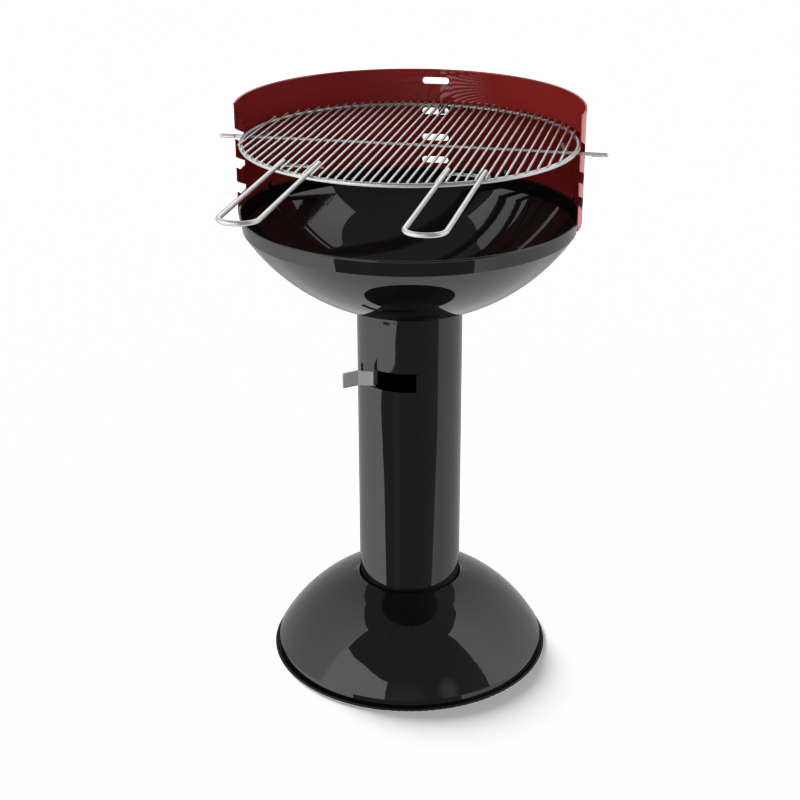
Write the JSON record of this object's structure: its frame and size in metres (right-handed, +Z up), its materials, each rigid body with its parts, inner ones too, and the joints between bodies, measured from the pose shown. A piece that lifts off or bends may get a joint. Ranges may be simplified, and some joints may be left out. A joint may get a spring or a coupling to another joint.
{
  "type": "pedestal charcoal barbecue",
  "caption": "Free-standing pedestal charcoal barbecue with an enamelled bowl, a red windscreen with hooked notches, a wire grill with loop handles and a domed foot.",
  "frame": {"origin": "on the pedestal's axis, at the flat underside of the ash pan's floor", "axes": "+Z up along the pedestal; -Y is the front, where the grill's handles point; +X is to the right seen from the front"},
  "size_m": [0.5498, 0.7055, 0.8485],
  "materials": {
    "black_enamel": "gloss",
    "black_paint": "satin",
    "red_enamel": "gloss",
    "chromed_wire": "polished",
    "zinc": "satin",
    "coal_wire": "satin"
  },
  "bodies": {
    "stand": {"ash_pan": "black_paint", "foot_brackets": "zinc", "foot_studs": "zinc", "foot_nuts": "zinc", "foot_rivets": "zinc", "pedestal_tube": "black_enamel", "shutter_ledges": "zinc", "bowl_collar": "black_paint", "collar_screws": "black_enamel", "bowl": "black_enamel", "windscreen": "red_enamel", "screen_clips": "black_enamel", "screen_screws": "zinc", "screen_nuts": "zinc"},
    "foot_cover": {"foot_dome": "black_enamel"},
    "vent": {"vent_sleeve": "black_enamel", "vent_lever": "zinc", "lever_rivets": "zinc"},
    "cooking_grill": {"grill_ring": "chromed_wire", "grill_bars": "chromed_wire", "grill_cross_wire": "chromed_wire", "grill_rear_tongue": "chromed_wire", "handle_left": "chromed_wire", "handle_right": "chromed_wire", "handle_tie_left": "chromed_wire", "handle_tie_right": "chromed_wire"},
    "charcoal_grate": {"grate_ring": "coal_wire", "grate_bars": "coal_wire"}
  },
  "joints": [
    {"name": "vent_turn", "type": "hinge", "parent": "stand", "child": "vent", "pos_m": [0, 0, 0.46316], "axis": [0, 0, 1], "range_deg": [-23, 46]},
    {"name": "grill_lift", "type": "slide", "parent": "stand", "child": "cooking_grill", "axis": [0, -0.9304, 0.3665], "range_m": [0, 0.2]},
    {"name": "foot_cover_lift", "type": "slide", "parent": "stand", "child": "foot_cover", "axis": [0, 0, 1], "range_m": [0, 0.25]},
    {"name": "grate_lift", "type": "slide", "parent": "stand", "child": "charcoal_grate", "axis": [0, 0, 1], "range_m": [0, 0.19]}
  ]
}
